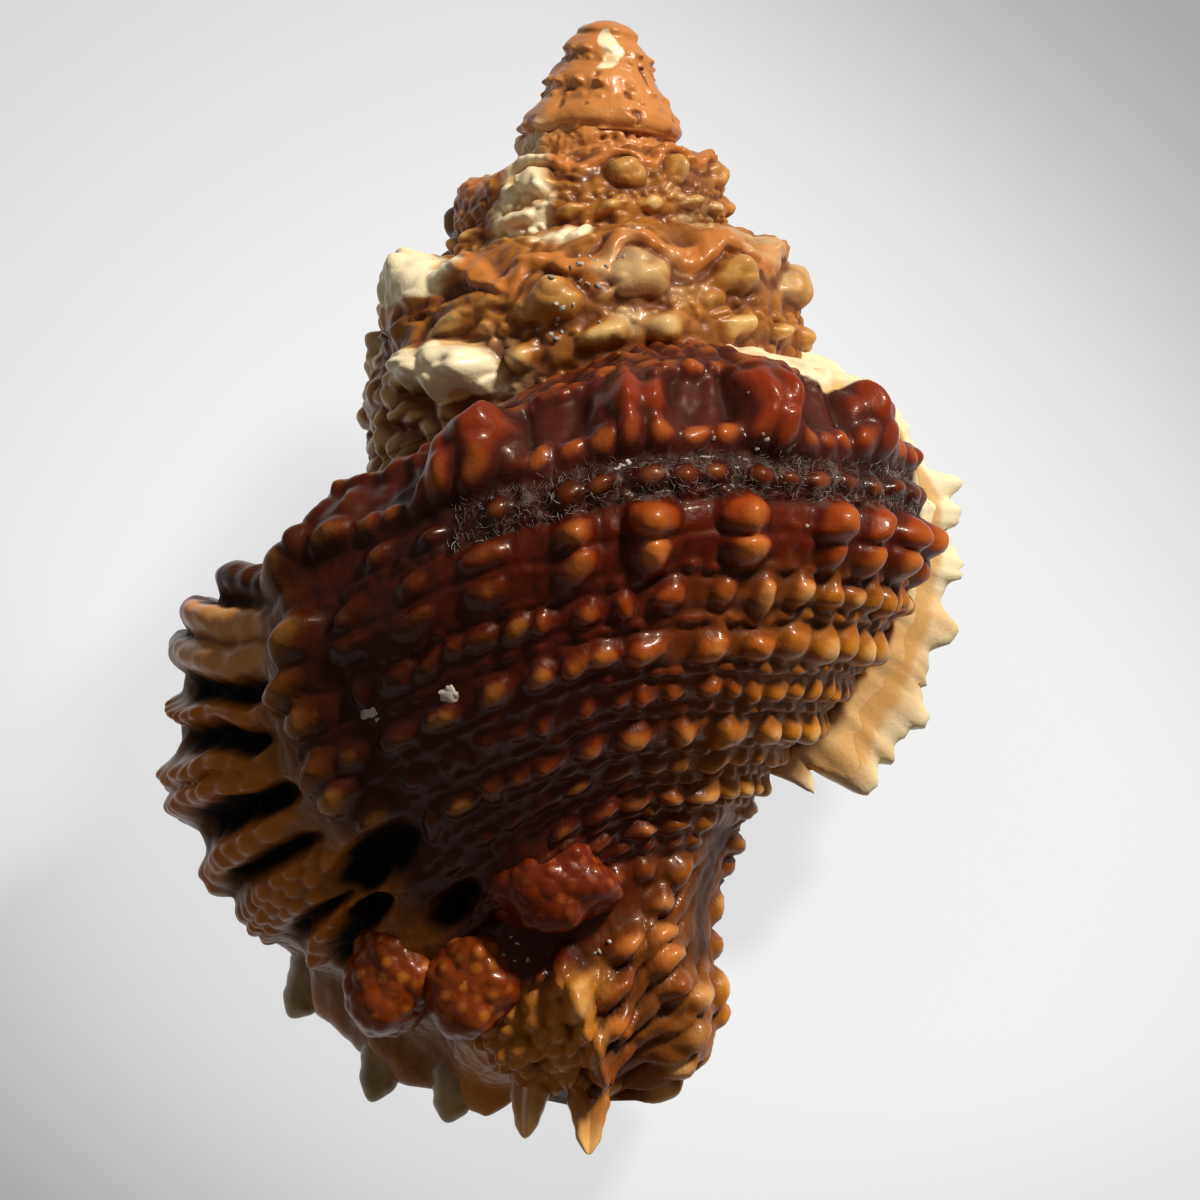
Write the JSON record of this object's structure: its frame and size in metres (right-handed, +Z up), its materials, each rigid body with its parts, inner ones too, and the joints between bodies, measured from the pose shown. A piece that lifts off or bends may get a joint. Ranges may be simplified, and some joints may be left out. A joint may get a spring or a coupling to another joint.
{
  "type": "frog shell",
  "caption": "Dry sea snail shell with a knobbed spire, beaded spiral ridges, thick toothed outer lip and an open aperture, lying on its aperture.",
  "frame": {"origin": "middle of the shell's outline, at the surface it lies on", "axes": "+Z up; the spire points towards +Y and a little up, the canal towards -Y, and the outer lip is on the -X side, seen from above"},
  "size_m": [0.0386, 0.0562, 0.0303],
  "materials": {
    "shell": "glossy"
  },
  "bodies": {
    "root": {"shell": "shell"}
  },
  "joints": []
}
